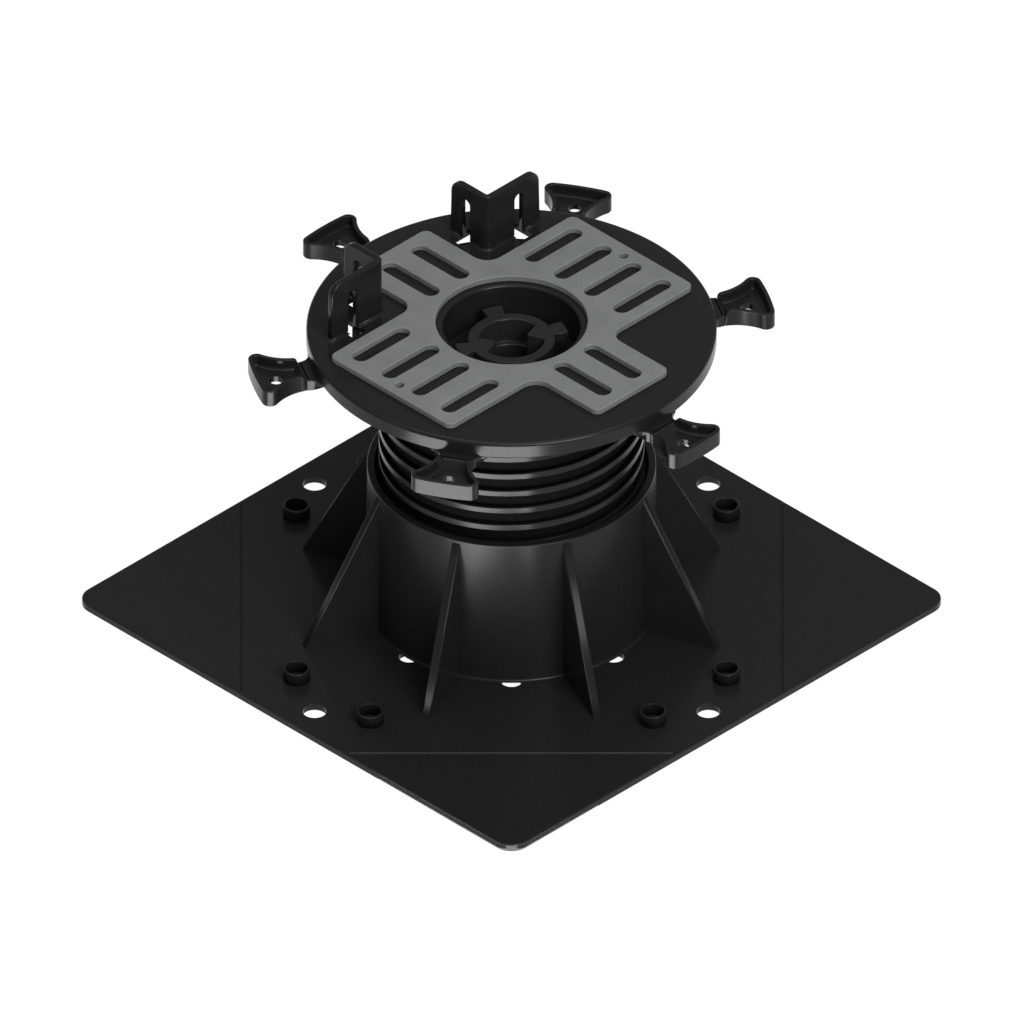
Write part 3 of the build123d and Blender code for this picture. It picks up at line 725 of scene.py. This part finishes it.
# %% The pad's shape
pad_t, reach, wide, narrow = 1.9, 50.174, 25.0, 15.0
cross = [(wide, -reach), (wide, -narrow), (reach, -narrow), (reach, narrow), (wide, narrow), (wide, reach)]
cross += [(-x, -y) for x, y in cross]
pad_outline = softened(cross, [2.4, 5.0, 2.4, 2.4, 5.0, 2.4] * 2, steps=8)
pad_rim = rim_of(pad_t, 0.4, 0.25, disc_top + pad_t)
slot_half_w, slot_in, slot_out, inner_row, outer_row = 2.5, 24.7, 46.074, 6.1, 18.2


def pad_slot(angle, side, end):
    """A slot with round ends, reaching outwards from the pad's hole at a distance to one side."""
    end_r = slot_half_w - 1.2 * LEAD
    line = box_outline(slot_in, slot_out, side - slot_half_w, side + slot_half_w, end_r, 9)
    c, s = np.cos(np.radians(angle)), np.sin(np.radians(angle))
    return (line * end) @ np.array([[c, s], [-s, c]])


rows = [(0, -inner_row), (0, inner_row), (90, -outer_row), (90, -inner_row), (90, inner_row), (90, outer_row)]
slots = [pad_slot(angle, side, end) for angle, side in rows for end in (-1, 1)]
pad_hole_r, pip_r, pip_at = 22.1, 1.3, 45.974
pips = [circle(pip_r, (0, side), 24) for side in (-pip_at, pip_at)]
pad_holes = [(line, pad_rim) for line in [circle(pad_hole_r, steps=128), *slots, *pips]]
pad_sheet = sheet_shape(pad_outline, pad_rim, pad_holes)
print("pad:", len(slots), "slots, reach", reach, "mm")

# %% [markdown]
# ## Material: grey rubber
# The pad is a matt mid-grey compound. Unlike the plastic it scatters light, so its colour matters more
# than its gloss: fine dark and light specks from the filler, a faint cloudiness, and a rough skin.

# %% A speckled grey rubber
def pad_rubber(name):
    """Matt grey: slow clouds between two greys, times fine specks, and a rough bump of tiny pores."""
    material, tree, shader, where = new_material(name)
    clouds = node(tree, "ShaderNodeTexNoise", Scale=90.0, Detail=4.0, Roughness=0.6)
    specks = node(tree, "ShaderNodeTexNoise", Scale=2200.0, Detail=2.0, Roughness=0.7)
    pores = node(tree, "ShaderNodeTexVoronoi", Scale=1500.0)
    for texture in (clouds, specks, pores):
        link(tree, where, "Object", texture, "Vector")
    ground = between(tree, (0.140, 0.141, 0.142), (0.168, 0.169, 0.170))
    tree.links.new(ramped(tree, clouds.outputs["Fac"], 0.3, 0.7, 0.0, 1.0), ground.inputs["Factor"])
    speckled = between(tree, 1, 1, "MULTIPLY")
    speckled.inputs["Factor"].default_value = 1.0
    link(tree, ground, "Result", speckled, "A")
    tree.links.new(ramped(tree, specks.outputs["Fac"], 0.3, 0.7, 0.82, 1.16), speckled.inputs["B"])
    link(tree, speckled, "Result", shader, "Base Color")
    tree.links.new(ramped(tree, clouds.outputs["Fac"], 0.3, 0.7, 0.66, 0.78), shader.inputs["Roughness"])
    bump = node(tree, "ShaderNodeBump", Strength=0.5, Distance=0.03 * MM)
    link(tree, pores, "Distance", bump, "Height")
    link(tree, bump, "Normal", shader, "Normal")
    return material


pad = piece("grip_pad", [pad_sheet], "head", "pad")
pad.data.materials.append(pad_rubber("pad_grey_rubber"))

# %% [markdown]
# ## Studio
# The pedestal stands on a plain pale floor. A curved sweep would do as well, but with a camera that looks
# down a large flat sheet is enough, with a faint mottle so that it reads as paper. Two narrow strips of the
# same paper lie along the plate's front sides, unseen by the camera: they keep the low light out of the
# reflections in the plate's edge. Nothing in the studio belongs to the part.

# %% The paper
paper = bpy.data.materials.new("studio_paper")
paper.use_nodes = True
paper_tree = paper.node_tree
paper_shader = paper_tree.nodes["Principled BSDF"]
paper_where = node(paper_tree, "ShaderNodeTexCoord")
paper_mottle = node(paper_tree, "ShaderNodeTexNoise", Scale=8.0, Detail=2.0)
paper_colour = between(paper_tree, 0.11, 0.13)
link(paper_tree, paper_where, "Object", paper_mottle, "Vector")
link(paper_tree, paper_mottle, "Fac", paper_colour, "Factor")
link(paper_tree, paper_colour, "Result", paper_shader, "Base Color")
for title, value in (("Roughness", 0.9), ("Specular IOR Level", 0.1), ("Emission Color", (1, 1, 1, 1)),
                     ("Emission Strength", 0.93)):
    paper_shader.inputs[title].default_value = value
print("material:", paper.name)

# %% The floor, and the strips beside the plate
def studio_sheet(name, points, faces):
    """A sheet of the studio's paper, from points in mm. It is no part of the pedestal."""
    mesh = bpy.data.meshes.new(name)
    mesh.from_pydata((points * MM).tolist(), [], faces)
    mesh.materials.append(paper)
    made = bpy.data.objects.new(name, mesh)
    bpy.context.scene.collection.objects.link(made)
    return made


floor_half, floor_z = 3000.0, -0.05
u = np.linspace(-floor_half, floor_half, 9)
floor_points = np.stack([*np.meshgrid(u, u), np.full((9, 9), floor_z)], axis=-1).reshape(-1, 3)
floor = studio_sheet("studio_floor", floor_points, grid_faces(9, 9)[:, ::-1].tolist())

strip_z, strip_in, strip_out, strip_end = 0.3, plate_half + 0.1, plate_half + 6, plate_half - 2.5
left = [(15, -strip_out), (strip_end, -strip_out), (strip_end, -strip_in), (15, -strip_in)]
right_side = [(strip_in, -strip_end), (strip_out, -strip_end), (strip_out, -30), (strip_in, -30)]
strip_points = np.array([(x, y, strip_z) for x, y in left + right_side])
strips = studio_sheet("studio_strips", strip_points, [(0, 1, 2, 3), (4, 5, 6, 7)])
strips.visible_camera = False
print("floor", 2 * floor_half * MM, "m wide, strips", len(strips.data.polygons))

# %% [markdown]
# ## Camera and light
# The picture is a true isometric view: the camera has no perspective, stands over the corner between the
# front and the right side, and looks down at 35.26 degrees. A wide panel overhead and a smaller one from
# the right shape it, and a weak one beside the camera lights the edges that face the eye. Black gloss shows
# what it mirrors, so a low panel on the floor in front gives the tube and the crests their soft glints, and
# the floor itself glows faintly. A dim even sky fills the rest.

# %% The camera
elevation = np.arctan(1 / np.sqrt(2))
azimuth = np.radians(45)
back = Vector((np.sin(azimuth) * np.cos(elevation), -np.cos(azimuth) * np.cos(elevation), np.sin(elevation)))
up = Vector((-np.sin(azimuth) * np.sin(elevation), np.cos(azimuth) * np.sin(elevation), np.cos(elevation)))
picture_width, pixels = 0.29750, 1024
lens = bpy.data.cameras.new("isometric")
lens.type = "ORTHO"
lens.ortho_scale = picture_width
camera = bpy.data.objects.new("isometric", lens)
camera.rotation_mode = "QUATERNION"
camera.rotation_quaternion = back.to_track_quat("Z", "Y")
right = up.cross(back)
aim_up, aim_right, camera_distance = 91.5, 0.5, 1.2
pixel = picture_width / pixels
camera.location = up * (aim_up * pixel) + right * (aim_right * pixel) + back * camera_distance
bpy.context.scene.collection.objects.link(camera)
bpy.context.scene.camera = camera
print("camera looks down at", round(float(np.degrees(elevation)), 2), "degrees")

# %% The lights
def panel(name, place, aim_at, width, height, watts):
    """A soft panel light that faces a point."""
    light = bpy.data.lights.new(name, "AREA")
    light.shape, light.size, light.size_y, light.energy = "RECTANGLE", width, height, watts
    lamp = bpy.data.objects.new(name, light)
    lamp.location = place
    lamp.rotation_mode = "QUATERNION"
    lamp.rotation_quaternion = (Vector(place) - Vector(aim_at)).to_track_quat("Z", "Y")
    bpy.context.scene.collection.objects.link(lamp)
    return lamp


middle = (0, 0, 0.05)
panel("overhead", (0, 0, 1.6), (0, 0, 0), 1.6, 1.6, 11)
panel("key", (1.25, -0.35, 1.1), middle, 0.8, 0.8, 20)
panel("front", back * 1.3, middle, 0.3, 0.3, 1.2)
low = panel("low_glow", (0.1031, -0.1655, 0.00015), (0, 0, 1), 0.195, 0.175, 1.45)
low_length, low_width = Vector((0.848, -0.530, 0)), Vector((-0.530, -0.848, 0))
low.rotation_quaternion = Matrix((low_length, low_width, (0, 0, -1))).transposed().to_quaternion()
low.visible_camera = low.visible_diffuse = False
sky = bpy.data.worlds.new("studio_sky")
sky.use_nodes = True
sky_light = sky.node_tree.nodes["Background"]
sky_light.inputs["Color"].default_value = (1, 1, 1, 1)
sky_light.inputs["Strength"].default_value = 0.25
bpy.context.scene.world = sky
bpy.context.scene.view_settings.view_transform = "Standard"
